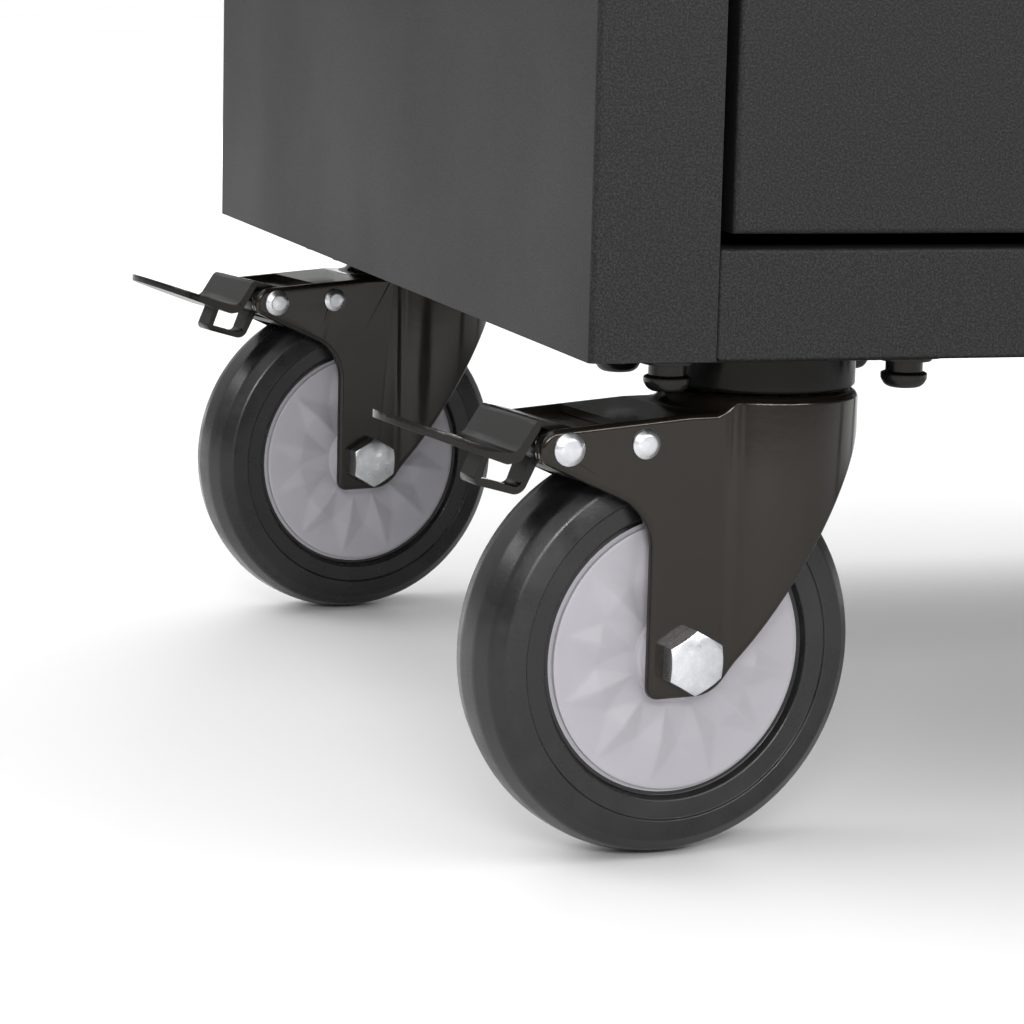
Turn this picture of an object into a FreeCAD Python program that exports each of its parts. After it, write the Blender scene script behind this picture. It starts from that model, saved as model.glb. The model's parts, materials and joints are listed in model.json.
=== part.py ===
import FreeCAD, Part
import math
import os

V = FreeCAD.Vector

# Rolling tool chest. Millimetres. +Z up, -Y is the drawer side, -X is the push-handle end.
# The origin is on the floor, at the middle of the chest's outline seen from above.

# Cabinet
CABINET_W = 690.0
CABINET_D = 488.0
UNDERSIDE_Z = 155.0
BODY_H = 705.0
POST_W = 38.0
BOTTOM_RAIL_H = 32.0
TOP_RAIL_H = 38.0
SHEET = 1.2
RETURN_D = 45.0            # how far the folded posts reach into the cabinet
RETURN_FOOT = 26.0         # the posts' inner folds stop this far up, clear of the caster nuts
RAIL_FLANGE_D = 18.0
PAN_UPSTAND_H = 25.0
SEAM = 0.2                 # butt joint between a rail and a post
BEND_R = 1.5

# Top tray
TRAY_H = 30.0
TRAY_RIM_W = 14.0
TRAY_LIP_H = 8.0
TRAY_CORNER_R = 4.0
LINER_T = 2.5
LINER_GAP = 3.0

# Drawers, from the top one down. The lowest front takes what is left of the opening.
UPPER_FRONT_HEIGHTS = (80.0, 80.0, 110.0, 140.0)
FRONT_GAP = 4.2
FRONT_RECESS = 0.5
FRONT_FLANGE_D = 16.0
FRONT_EDGE_R = 1.8
BOX_SIDE_GAP = 13.0        # room for a slide, each side
BOX_WALL = 1.0
BOX_DEPTH = 450.0
BOX_FLOOR_RISE = 10.0
BOX_TOP_DROP = 14.0

# Drawer pull: a J strip along the top edge of each front
PULL_D = 14.0
PULL_T = 2.0
PULL_LIP_H = 16.0
PULL_LEAF_H = 24.0
PULL_EDGE_R = 1.6

# Drawer slides
SLIDE_START = 22.0
SLIDE_L = 440.0
SLIDE_H = 35.0
SLIDE_T = 1.2
SLIDE_CURL_H = 3.0
SLIDE_INNER_H = 19.4
SLIDE_OUTER_D = 10.4       # depth of the cabinet member, from the post
SLIDE_INNER_START = 3.5    # gap from the post to the drawer member

# Push handle on the left side
HANDLE_OVERHANG = 62.0
HANDLE_R = 12.0
HANDLE_L = 360.0
HANDLE_BEND_R = 34.0
HANDLE_Z = 780.0
HANDLE_PLATE = (3.0, 46.0, 60.0)
SCREW_HEAD_R = 5.5
SCREW_HEAD_H = 3.0
SCREW_INSET = 9.0

# Lock on the right post
LOCK_DROP = 19.0           # below the top of the body
LOCK_BORE_R = 7.0
LOCK_BODY_R = 9.0
LOCK_FLANGE_R = 11.5
LOCK_FLANGE_T = 1.5
LOCK_NUT_R = 13.0
LOCK_NUT_T = 3.0
LOCK_BODY_L = 17.0
LOCK_CLEARANCE = 0.05
CAM_R = 9.5
CAM_T = 2.0
CAM_GAP = 1.5
CAM_PIN_R = 2.0
CAM_THROW = 7.0
CAM_PIN_CLEARANCE = 0.5
BAR_T = 2.0
BAR_Y = (8.5, 24.5)
TAB_T = 3.0
TAB_H = 5.0
TAB_REACH = 10.0
SLOT_CLEARANCE = 1.5

# Casters
WHEEL_R = 62.5
CORE_R = 42.0
TYRE_HALF_W = 16.0
TREAD_HALF_W = 4.5
TYRE_SHOULDER = ((60.4, 11.6), (56.6, 14.8))   # (radius, half width) where the shoulder turns
STEP_R = 50.4
STEP_DEPTH = 0.8
GROOVE_R = 43.2
GROOVE_DEPTH = 3.2
CORE_FACE = 15.8
CORE_LEDGE = 1.2           # the core's outer ledge, below its face
CORE_LEDGE_DEPTH = 3.0
HUB_R = 12.5
HUB_HALF_W = 18.5
CASTER_INSET_X = 71.8
CASTER_INSET_Y = 52.9
TRAIL = 33.0
FRONT_HEADING = 8.47       # degrees about Z, trail towards -X at zero
REAR_HEADING = 11.28
PLATE_SIZE = (95.0, 65.0, 3.0)
PLATE_CORNER_R = 6.0
PLATE_BOLTS = (75.0, 45.0)
LEG_OUT = 22.0             # outer faces of the fork legs
LEG_T = 2.8
HEAD_R = 30.0
CROWN_Z = 136.0
CROWN_T = 2.5
DOME_Z = 141.0
DOME_RISE_R = (26.5, 34.0)  # the top of the head rises from the crown between these radii
FORK_EDGE_R = 1.6
CREASE_R = 8.0             # outside, where a flat leg meets the round head
RACE_R = 29.0
RACE_Z = 144.0
RACE_SKIRT_R = 26.0
RACE_SKIRT_Z = 141.6
BALL_R = 3.0
BALL_RING_R = 22.0
BALL_COUNT = 14
BALL_GAP = 0.3
KINGPIN_R = 6.0
KINGPIN_HEAD_R = 15.0
KINGPIN_HEAD_H = 6.0
AXLE_R = 5.0
BUSH_R = 7.0
RUNNING_FIT = 0.08
HEX_AF = 17.0
HEX_H = 5.8
NUT_H = 8.0
WASHER_R = 10.5
WASHER_T = 1.2
AXLE_END = 12.0            # how far the axle bolt runs past the fork leg
BOLT_R = 4.0
BOLT_HOLE_R = 4.5
BOLT_FLANGE_R = 8.4
BOLT_FLANGE_T = 1.2
BOLT_NECK_R = 5.6
BOLT_CAP_R = 7.0
BOLT_CAP_DROP = 9.6        # from the plate to the bottom of the domed cap
BOLT_END = 11.0            # how far the thread runs above the channel
PLATE_NUT_H = 8.0
CHANNEL_T = 2.0
CHANNEL_W = 98.0
CHANNEL_H = 14.0

# Brake, placed from the axle: along the rolling direction, then up
PEDAL_PIVOT = (-41.3, 65.0)
SHOE_PIVOT = (-16.4, 65.5)
RIVET_R = 2.5
RIVET_HEAD_R = 4.6
RIVET_HEAD_H = 1.8
PEDAL_HUB_R = 6.3
PEDAL_TIP_U = -92.0
PEDAL_TIP_R = 19.0
PEDAL_NECK_HALF_W = 16.2
LEVER_HALF_W = 5.0
SHOE_HUB_R = 3.8
SHOE_R = (65.0, 67.2)
SHOE_SWEEP = (104.0, 123.0)
SHOE_HALF_W = 15.5

# Levels and faces worked out from the above
LEFT = -(CABINET_W - HANDLE_OVERHANG) / 2
RIGHT = LEFT + CABINET_W
FRONT = -(CABINET_D - PULL_D) / 2
BACK = FRONT + CABINET_D
MID_Y = (FRONT + BACK) / 2
BODY_TOP = UNDERSIDE_Z + BODY_H
OPEN_LEFT = LEFT + POST_W
OPEN_RIGHT = RIGHT - POST_W
OPEN_BOTTOM = UNDERSIDE_Z + BOTTOM_RAIL_H
OPEN_TOP = BODY_TOP - TOP_RAIL_H
LOCK_X = RIGHT - POST_W / 2
LOCK_Z = BODY_TOP - LOCK_DROP
LOCK_TRAVEL = 2 * CAM_THROW * math.sin(math.radians(45))
LEG_IN = LEG_OUT - LEG_T
SWIVELS = {
    "front_left": (LEFT + CASTER_INSET_X, FRONT + CASTER_INSET_Y, FRONT_HEADING),
    "rear_left": (LEFT + CASTER_INSET_X, BACK - CASTER_INSET_Y, REAR_HEADING),
}
RIGIDS = {
    "front_right": (RIGHT - CASTER_INSET_X, FRONT + CASTER_INSET_Y),
    "rear_right": (RIGHT - CASTER_INSET_X, BACK - CASTER_INSET_Y),
}


def drawer_fronts():
    """Bottom and top height of each drawer front, from the top drawer down."""
    levels = []
    top = OPEN_TOP - FRONT_GAP
    for height in UPPER_FRONT_HEIGHTS:
        levels.append((top - height, top))
        top -= height + FRONT_GAP
    levels.append((OPEN_BOTTOM + FRONT_GAP, top))
    return levels


# Basic shapes

def block(x0, x1, y0, y1, z0, z1):
    return Part.makeBox(x1 - x0, y1 - y0, z1 - z0, V(x0, y0, z0))


def rod(x, y, z, direction, radius, length):
    return Part.makeCylinder(radius, length, V(x, y, z), V(*direction))


def cross_rod(u, z, radius, y0, y1):
    """Round bar along Y between y0 and y1."""
    return rod(u, y0, z, (0, 1, 0), radius, y1 - y0)


def outline(points, radii):
    """Closed wire in the XZ plane. Each corner is rounded by its own radius, 0 for sharp."""
    corners = [V(x, 0, z) for x, z in points]
    edges = []
    ends = []
    for i, corner in enumerate(corners):
        to_last = (corners[i - 1] - corner).normalize()
        to_next = (corners[(i + 1) % len(corners)] - corner).normalize()
        if radii[i] == 0:
            ends.append((corner, corner))
            continue
        half = to_last.getAngle(to_next) / 2
        reach = radii[i] / math.tan(half)
        middle = (to_last + to_next).normalize()
        near = corner + middle * (radii[i] / math.sin(half) - radii[i])
        start = corner + to_last * reach
        end = corner + to_next * reach
        edges.append(Part.Arc(start, near, end).toShape())
        ends.append((start, end))
    for i, (_, leave) in enumerate(ends):
        arrive = ends[(i + 1) % len(ends)][0]
        if leave.distanceToPoint(arrive) > 1e-6:
            edges.append(Part.LineSegment(leave, arrive).toShape())
    return Part.Wire(Part.__sortEdges__(edges))


def prism(points, radii, y0, y1):
    """Outline in the XZ plane, extruded from y0 to y1."""
    body = Part.Face(outline(points, radii)).extrude(V(0, y1 - y0, 0))
    body.translate(V(0, y0, 0))
    return body


def turned(points, axis_x, axis_z):
    """Profile of (radius, y) points, turned about an axis along Y."""
    corners = [V(axis_x + r, y, axis_z) for r, y in points]
    face = Part.Face(Part.makePolygon(corners + corners[:1]))
    return face.revolve(V(axis_x, 0, axis_z), V(0, 1, 0), 360)


def turned_up(points):
    """Profile of (radius, z) points, turned about the Z axis."""
    corners = [V(r, 0, z) for r, z in points]
    face = Part.Face(Part.makePolygon(corners + corners[:1]))
    return face.revolve(V(0, 0, 0), V(0, 0, 1), 360)


def hexagon(y0, y1, x, z):
    """Hexagon bar along Y with one corner upwards."""
    radius = HEX_AF / 2 / math.cos(math.radians(30))
    corners = [(x + radius * math.sin(math.radians(60 * i)), z + radius * math.cos(math.radians(60 * i)))
               for i in range(6)]
    return prism(corners, [0] * 6, y0, y1)


def joined(shapes):
    return shapes[0].multiFuse(shapes[1:]).removeSplitter()


def placed(shape, x, y, heading=0.0):
    """Copy of a caster piece, turned by its heading and set at its mounting point."""
    copy = shape.copy()
    copy.rotate(V(0, 0, 0), V(0, 0, 1), heading)
    copy.translate(V(x, y, 0))
    return copy


def ring_shell(x0, x1, y0, y1, z0, z1, wall):
    """Four walls, open at the top and the bottom."""
    outer = block(x0, x1, y0, y1, z0, z1)
    return outer.cut(block(x0 + wall, x1 - wall, y0 + wall, y1 - wall, z0 - 1, z1 + 1))


def upright_edges(shape, x, y):
    """Edges of a shape that run straight up at one corner."""
    def at_corner(edge):
        box = edge.BoundBox
        return box.ZLength > 1 and math.hypot(box.XMin - x, box.YMin - y) < 0.01 and box.XLength < 0.01
    return [edge for edge in shape.Edges if at_corner(edge)]


# Cabinet

def slide_level(bottom, top):
    """Height of a drawer's slides: the middle of its box."""
    return (bottom + BOX_FLOOR_RISE + top - BOX_TOP_DROP) / 2


def tab_level(bottom, top):
    """Height of a drawer's lock tab at rest. Down or up, the tab stays inside the hollow of the slide."""
    return slide_level(bottom, top) - LOCK_TRAVEL / 2


def lock_tab_levels():
    return [tab_level(bottom, top) for bottom, top in drawer_fronts()]


def tab_slot(x0, x1, level):
    """Upright slot that a lock tab moves in."""
    y0 = FRONT + BAR_Y[0]
    return block(x0, x1, y0 - SLOT_CLEARANCE, y0 + TAB_T + SLOT_CLEARANCE,
                 level - TAB_H / 2 - SLOT_CLEARANCE, level + TAB_H / 2 + LOCK_TRAVEL + SLOT_CLEARANCE)


def base_slab():
    return block(LEFT + SHEET, RIGHT - SHEET, FRONT + SHEET, BACK - SHEET, UNDERSIDE_Z, UNDERSIDE_Z + SHEET)


def side_panel(side):
    """Side sheet whose folds make the front and rear posts. side is -1 for left, 1 for right."""
    wall = LEFT if side < 0 else RIGHT

    def sheet(a, b, y0, y1, z0=UNDERSIDE_Z, z1=BODY_TOP):
        ends = sorted((wall - side * a, wall - side * b))
        return block(ends[0], ends[1], y0, y1, z0, z1)

    panel = joined([
        sheet(0, SHEET, FRONT, BACK),
        sheet(0, POST_W, FRONT, FRONT + SHEET),
        sheet(POST_W - SHEET, POST_W, FRONT, FRONT + RETURN_D, UNDERSIDE_Z + RETURN_FOOT),
        sheet(0, POST_W, BACK - SHEET, BACK),
        sheet(POST_W - SHEET, POST_W, BACK - RETURN_D, BACK, UNDERSIDE_Z + RETURN_FOOT),
        sheet(0, POST_W, FRONT, BACK, BODY_TOP - SHEET, BODY_TOP),
    ])
    panel = panel.makeFillet(BEND_R, upright_edges(panel, wall, FRONT))
    panel = panel.cut(base_slab())
    if side > 0:
        slots = [tab_slot(OPEN_RIGHT - 1, OPEN_RIGHT + SHEET + 1, z) for z in lock_tab_levels()]
        slots.append(cross_rod(LOCK_X, LOCK_Z, LOCK_BODY_R, FRONT - 1, FRONT + SHEET + 1))
        panel = panel.cut(slots)
    return panel


def back_panel():
    bottom = UNDERSIDE_Z + SHEET
    return joined([
        block(OPEN_LEFT, OPEN_RIGHT, BACK - SHEET, BACK, bottom, BODY_TOP),
        block(OPEN_LEFT, OPEN_LEFT + SHEET, BACK - RAIL_FLANGE_D, BACK, bottom, BODY_TOP),
        block(OPEN_RIGHT - SHEET, OPEN_RIGHT, BACK - RAIL_FLANGE_D, BACK, bottom, BODY_TOP),
        block(OPEN_LEFT, OPEN_RIGHT, BACK - RAIL_FLANGE_D, BACK, BODY_TOP - SHEET, BODY_TOP),
    ])


def plate_bolt_points():
    """Centres of the four bolts of each caster plate."""
    centres = [spot[:2] for spot in list(SWIVELS.values()) + list(RIGIDS.values())]
    half_x, half_y = PLATE_BOLTS[0] / 2, PLATE_BOLTS[1] / 2
    return [(x + i * half_x, y + j * half_y) for x, y in centres for i in (-1, 1) for j in (-1, 1)]


def bolt_holes(z0, z1):
    return [rod(x, y, z0, (0, 0, 1), BOLT_HOLE_R, z1 - z0) for x, y in plate_bolt_points()]


def base_pan():
    z0 = UNDERSIDE_Z
    z1 = UNDERSIDE_Z + PAN_UPSTAND_H
    front_edge = FRONT + SHEET
    pan = joined([
        base_slab(),
        block(LEFT + SHEET, LEFT + 2 * SHEET, FRONT + RETURN_D, BACK - RETURN_D, z0, z1),
        block(RIGHT - 2 * SHEET, RIGHT - SHEET, FRONT + RETURN_D, BACK - RETURN_D, z0, z1),
        block(OPEN_LEFT, OPEN_RIGHT, front_edge, front_edge + SHEET, z0, z1),
    ])
    return pan.cut(bolt_holes(z0 - 1, z0 + SHEET + 1))


def caster_channels():
    """Two channels inside the base, one over each end's pair of casters."""
    channels = []
    z0 = UNDERSIDE_Z + SHEET
    z1 = z0 + CHANNEL_T
    y0, y1 = FRONT + RETURN_D + SHEET, BACK - RETURN_D - SHEET
    for x in (LEFT + CASTER_INSET_X, RIGHT - CASTER_INSET_X):
        x0, x1 = x - CHANNEL_W / 2, x + CHANNEL_W / 2
        channel = joined([
            block(x0, x1, FRONT + 3 * SHEET, BACK - RAIL_FLANGE_D - SHEET, z0, z1),
            block(x0, x0 + CHANNEL_T, y0, y1, z0, z0 + CHANNEL_H),
            block(x1 - CHANNEL_T, x1, y0, y1, z0, z0 + CHANNEL_H),
        ])
        channels.append(channel.cut(bolt_holes(z0 - 1, z1 + 1)))
    return channels


def bottom_rail():
    x0, x1 = OPEN_LEFT + SEAM, OPEN_RIGHT - SEAM
    return joined([
        block(x0, x1, FRONT, FRONT + SHEET, UNDERSIDE_Z, OPEN_BOTTOM),
        block(x0, x1, FRONT, FRONT + RAIL_FLANGE_D, OPEN_BOTTOM - SHEET, OPEN_BOTTOM),
    ])


def top_rail():
    x0, x1 = OPEN_LEFT + SEAM, OPEN_RIGHT - SEAM
    return joined([
        block(x0, x1, FRONT, FRONT + SHEET, OPEN_TOP, BODY_TOP),
        block(x0, x1, FRONT, FRONT + RAIL_FLANGE_D, OPEN_TOP, OPEN_TOP + SHEET),
        block(x0, x1, FRONT, FRONT + RAIL_FLANGE_D, BODY_TOP - SHEET, BODY_TOP),
    ])


def top_tray():
    top = BODY_TOP + TRAY_H
    inner = (LEFT + TRAY_RIM_W, RIGHT - TRAY_RIM_W, FRONT + TRAY_RIM_W, BACK - TRAY_RIM_W)
    tray = block(LEFT, RIGHT, FRONT, BACK, BODY_TOP, top)
    corners = [edge for x in (LEFT, RIGHT) for y in (FRONT, BACK) for edge in upright_edges(tray, x, y)]
    tray = tray.makeFillet(TRAY_CORNER_R, corners)
    tray = tray.cut(block(LEFT + SHEET, RIGHT - SHEET, FRONT + SHEET, BACK - SHEET,
                          BODY_TOP + SHEET, top - SHEET))
    tray = tray.cut(block(*inner, top - 2 * SHEET, top + 1))
    lip = ring_shell(*inner, top - TRAY_LIP_H, top - SHEET / 2, SHEET)
    return joined([tray, lip])


def tray_liner():
    inset = SHEET + LINER_GAP
    z0 = BODY_TOP + SHEET
    return block(LEFT + inset, RIGHT - inset, FRONT + inset, BACK - inset, z0, z0 + LINER_T)


def side_handle():
    """Bent tube, the plate welded to each end of it, and the screws that hold the plates."""
    grip_x = LEFT - HANDLE_OVERHANG + HANDLE_R
    half = HANDLE_L / 2
    bend = HANDLE_BEND_R
    plate_t, plate_w, plate_h = HANDLE_PLATE
    corner = bend * (1 - math.cos(math.radians(45)))

    def at(x, y):
        return V(x, MID_Y + y, HANDLE_Z)

    path = Part.Wire([
        Part.LineSegment(at(LEFT - plate_t, -half), at(grip_x + bend, -half)).toShape(),
        Part.Arc(at(grip_x + bend, -half), at(grip_x + corner, -half + corner),
                 at(grip_x, -half + bend)).toShape(),
        Part.LineSegment(at(grip_x, -half + bend), at(grip_x, half - bend)).toShape(),
        Part.Arc(at(grip_x, half - bend), at(grip_x + corner, half - corner),
                 at(grip_x + bend, half)).toShape(),
        Part.LineSegment(at(grip_x + bend, half), at(LEFT - plate_t, half)).toShape(),
    ])
    section = Part.Face(Part.Wire(Part.makeCircle(HANDLE_R, at(LEFT - plate_t, -half), V(1, 0, 0))))
    pieces = [path.makePipe(section)]
    screws = []
    for side in (-1, 1):
        y = MID_Y + side * half
        pieces.append(block(LEFT - plate_t, LEFT, y - plate_w / 2, y + plate_w / 2,
                            HANDLE_Z - plate_h / 2, HANDLE_Z + plate_h / 2))
        for level in (-1, 1):
            z = HANDLE_Z + level * (plate_h / 2 - SCREW_INSET)
            screws.append(rod(LEFT - plate_t, y, z, (-1, 0, 0), SCREW_HEAD_R, SCREW_HEAD_H))
    return pieces + screws


# Lock

def lock_housing():
    """Round body through the post, with its flange and nut."""
    face = FRONT - LOCK_FLANGE_T
    body = joined([
        cross_rod(LOCK_X, LOCK_Z, LOCK_FLANGE_R, face, FRONT),
        cross_rod(LOCK_X, LOCK_Z, LOCK_BODY_R, face, FRONT + LOCK_BODY_L),
    ]).cut(cross_rod(LOCK_X, LOCK_Z, LOCK_BORE_R, face - 1, FRONT + LOCK_BODY_L + 1))
    nut_y = FRONT + SHEET
    nut = cross_rod(LOCK_X, LOCK_Z, LOCK_NUT_R, nut_y, nut_y + LOCK_NUT_T).cut(
        cross_rod(LOCK_X, LOCK_Z, LOCK_BODY_R, nut_y - 1, nut_y + LOCK_NUT_T + 1))
    return [body, nut]


def lock_barrel():
    """Key barrel with its cam disc and cam pin. The pin starts low on the left."""
    cam_y = FRONT + LOCK_BODY_L + CAM_GAP
    offset = CAM_THROW * math.cos(math.radians(45))
    barrel = joined([
        cross_rod(LOCK_X, LOCK_Z, LOCK_BORE_R - LOCK_CLEARANCE, FRONT - 1.0, FRONT + LOCK_BODY_L),
        cross_rod(LOCK_X, LOCK_Z, LOCK_BORE_R - 2, FRONT + LOCK_BODY_L - 1, cam_y + 1),
        cross_rod(LOCK_X, LOCK_Z, CAM_R, cam_y, cam_y + CAM_T),
        cross_rod(LOCK_X - offset, LOCK_Z - offset, CAM_PIN_R, cam_y + 1, FRONT + BAR_Y[1] + 1),
    ])
    keyway = block(LOCK_X - 1, LOCK_X + 1, FRONT - 2, FRONT + 8, LOCK_Z - 4, LOCK_Z + 4)
    return barrel.cut(keyway)


def lock_bar():
    """Upright bar inside the right post, with a tab for each drawer and a slotted arm for the cam."""
    x0 = OPEN_RIGHT + SHEET + 1.3
    y0, y1 = FRONT + BAR_Y[0], FRONT + BAR_Y[1]
    levels = lock_tab_levels()
    offset = CAM_THROW * math.cos(math.radians(45))
    arm_z = LOCK_Z - offset
    bar = [block(x0, x0 + BAR_T, y0, y1, levels[-1] - 15, arm_z - 9),
           block(x0, x0 + BAR_T, y0 + 10, y1, arm_z - 10, arm_z + 8),
           block(x0, LOCK_X - 1, y1 - BAR_T, y1, arm_z - 8, arm_z + 8)]
    for level in levels:
        bar.append(block(OPEN_RIGHT - TAB_REACH, x0 + 1, y0, y0 + TAB_T,
                         level - TAB_H / 2, level + TAB_H / 2))
    half = CAM_PIN_R + CAM_PIN_CLEARANCE
    slot = block(LOCK_X - CAM_THROW - half, LOCK_X, y1 - BAR_T - 1, y1 + 1, arm_z - half, arm_z + half)
    return joined(bar).cut(slot)


# Drawers

def drawer_front(bottom, top):
    """Folded front: a face with four flanges, and the L-shaped opening for its lock tab."""
    x0, x1 = OPEN_LEFT + FRONT_GAP, OPEN_RIGHT - FRONT_GAP
    y0 = FRONT + FRONT_RECESS
    y1 = y0 + FRONT_FLANGE_D
    face = block(x0, x1, y0, y1, bottom, top)
    rim = [edge for edge in face.Edges if abs(edge.BoundBox.YMax - y0) < 0.01]
    face = face.makeFillet(FRONT_EDGE_R, rim)
    face = face.cut(block(x0 + SHEET, x1 - SHEET, y0 + SHEET, y1 + 1, bottom + SHEET, top - SHEET))
    level = tab_level(bottom, top)
    half = TAB_H / 2 + SLOT_CLEARANCE
    tab_y = FRONT + BAR_Y[0] - SLOT_CLEARANCE
    way_out = block(x1 - SHEET - 1, x1 + 1, tab_y, y1 + 1, level - half, level + half)
    return face.cut([tab_slot(x1 - SHEET - 1, x1 + 1, level), way_out])


def drawer_box(bottom, top):
    """Open tray behind a front."""
    x0, x1 = OPEN_LEFT + BOX_SIDE_GAP, OPEN_RIGHT - BOX_SIDE_GAP
    y0 = FRONT + FRONT_RECESS + SHEET
    y1 = y0 + BOX_DEPTH
    z0, z1 = bottom + BOX_FLOOR_RISE, top - BOX_TOP_DROP
    inside = block(x0 + BOX_WALL, x1 - BOX_WALL, y0 + BOX_WALL, y1 - BOX_WALL, z0 + BOX_WALL, z1 + 1)
    return block(x0, x1, y0, y1, z0, z1).cut(inside)


def drawer_pull(top):
    """J strip: a leaf on the front's face, a flat top, and a lip for the fingers."""
    x0, x1 = OPEN_LEFT + FRONT_GAP + 1, OPEN_RIGHT - FRONT_GAP - 1
    y0, y1 = FRONT - PULL_D, FRONT + FRONT_RECESS
    top -= 2
    pull = joined([
        block(x0, x1, y1 - PULL_T, y1, top - PULL_LEAF_H, top),
        block(x0, x1, y0, y1, top - PULL_T, top),
        block(x0, x1, y0, y0 + PULL_T, top - PULL_LIP_H, top),
    ])
    nose = [edge for edge in pull.Edges
            if edge.BoundBox.XLength > 100 and abs(edge.BoundBox.YMax - y0) < 0.01 and
            abs(edge.BoundBox.ZMin - top) < 0.01]
    return pull.makeFillet(PULL_EDGE_R, nose)


def slide_piece(side, level, strips, y0, y1):
    """Slide strip pieces: (distance from post, distance from post, low, high) about the level."""
    wall = OPEN_LEFT if side < 0 else OPEN_RIGHT
    blocks = []
    for near, far, low, high in strips:
        ends = sorted((wall - side * near, wall - side * far))
        blocks.append(block(ends[0], ends[1], y0, y1, level + low, level + high))
    return joined(blocks)


def cabinet_slide(side, level):
    half, inner, depth = SLIDE_H / 2, SLIDE_H / 2 - SLIDE_T, SLIDE_OUTER_D
    strips = [(0, SLIDE_T, -half, half)]
    for sign in (-1, 1):
        strips.append((0, depth, *sorted((sign * inner, sign * half))))
        strips.append((depth - SLIDE_T, depth, *sorted((sign * (inner - SLIDE_CURL_H), sign * inner))))
    return slide_piece(side, level, strips, FRONT + SLIDE_START, FRONT + SLIDE_START + SLIDE_L)


def drawer_slide(side, level):
    half, near = SLIDE_INNER_H / 2, SLIDE_INNER_START
    strips = [(BOX_SIDE_GAP - SLIDE_T, BOX_SIDE_GAP, -half, half)]
    for sign in (-1, 1):
        strips.append((near, BOX_SIDE_GAP, *sorted((sign * (half - SLIDE_T), sign * half))))
        strips.append((near, near + SLIDE_T, *sorted((sign * half, sign * (half + SLIDE_CURL_H)))))
    start = FRONT + SLIDE_START
    return slide_piece(side, level, strips, start, start + BOX_DEPTH - SLIDE_START)


# Casters. Local frame: the swivel axis is at x = y = 0, and the axle is at x = -TRAIL.

def from_axle(points):
    """Points given from a swivel caster's axle, moved to the caster's local frame."""
    return [(x - TRAIL, z + WHEEL_R) for x, z in points]


def fork_plan(out, radius, crease, z0, z1):
    """Shape of the fork seen from above: two flat legs that run into a round head through a soft crease."""
    legs = block(-TRAIL - 60, 0, -out, out, z0, z1)
    plan = joined([legs, rod(0, 0, z0, (0, 0, 1), radius, z1 - z0)])
    meeting_x = -math.sqrt(radius ** 2 - out ** 2)
    creases = upright_edges(plan, meeting_x, out) + upright_edges(plan, meeting_x, -out)
    return plan.makeFillet(crease, creases)


def fork_dome():
    """Raised top of the fork's head, with an S-shaped rise around it."""
    near, far = DOME_RISE_R
    half_run, half_rise = (far - near) / 2, (DOME_Z - CROWN_Z) / 2
    radius = (half_run ** 2 + half_rise ** 2) / (2 * half_rise)
    turn = math.asin(half_run / radius) / 2
    side, drop = radius * math.sin(turn), radius * (1 - math.cos(turn))
    middle = V(near + half_run, 0, CROWN_Z + half_rise)
    low = CROWN_Z - 1
    edges = [
        Part.LineSegment(V(0, 0, DOME_Z), V(near, 0, DOME_Z)).toShape(),
        Part.Arc(V(near, 0, DOME_Z), V(near + side, 0, DOME_Z - drop), middle).toShape(),
        Part.Arc(middle, V(far - side, 0, CROWN_Z + drop), V(far, 0, CROWN_Z)).toShape(),
        Part.LineSegment(V(far, 0, CROWN_Z), V(far, 0, low)).toShape(),
        Part.LineSegment(V(far, 0, low), V(0, 0, low)).toShape(),
        Part.LineSegment(V(0, 0, low), V(0, 0, DOME_Z)).toShape(),
    ]
    return Part.Face(Part.Wire(edges)).revolve(V(0, 0, 0), V(0, 0, 1), 360)


def swivel_fork():
    """Pressed fork: a solid of its outer shape with rounded top edges, hollowed from below."""
    low, high = 40.0, DOME_Z + 1
    side = prism(from_axle([(-13, -11.5), (9.4, -11.5), (63.2, 73.5), (-2, 73.5), (-50, 70.3),
                            (-50, 61.4), (-13, 44.7)]),
                 [3.5, 12, 0, 0, 5.5, 4, 18], -HEAD_R - 1, HEAD_R + 1)
    fork = joined([side, fork_dome()]).common(fork_plan(LEG_OUT, HEAD_R, CREASE_R, low, high))
    fork = fork.makeFillet(FORK_EDGE_R, fork_top_edges(fork))
    inner = fork_plan(LEG_IN, HEAD_R - LEG_T, CREASE_R + LEG_T, low - 1, high + 1)
    under_crown = prism(from_axle([(-24, 72.03 - CROWN_T), (-2, 73.5 - CROWN_T), (64, 73.5 - CROWN_T),
                                   (64, -20), (-24, -20)]), [0] * 5, -HEAD_R - 1, HEAD_R + 1)
    open_front = block(-TRAIL - 60, -TRAIL - 24, -HEAD_R, HEAD_R, low - 1, high + 1)
    groove = Part.makeTorus(BALL_RING_R, BALL_R + BALL_GAP, V(0, 0, ball_level()))
    cuts = [inner.common(joined([under_crown, open_front])), groove,
            rod(0, 0, low, (0, 0, 1), KINGPIN_R + RUNNING_FIT, high),
            cross_rod(-TRAIL, WHEEL_R, AXLE_R, -LEG_OUT - 1, LEG_OUT + 1)]
    for x, z in from_axle([PEDAL_PIVOT, SHOE_PIVOT]):
        cuts.append(cross_rod(x, z, RIVET_R, -LEG_OUT - 1, LEG_OUT + 1))
    return fork.cut(cuts)


def fork_top_edges(fork):
    """Straight top edges of the legs. The same rounding runs on from them around the head."""
    def on_top(edge):
        box = edge.BoundBox
        return (abs(abs(box.YMin) - LEG_OUT) < 0.01 and box.YLength < 0.01 and box.XLength > 5
                and box.ZMin > CROWN_Z - 6)
    return [edge for edge in fork.Edges if on_top(edge)]


def ball_level():
    return (DOME_Z + RACE_Z) / 2


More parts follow.
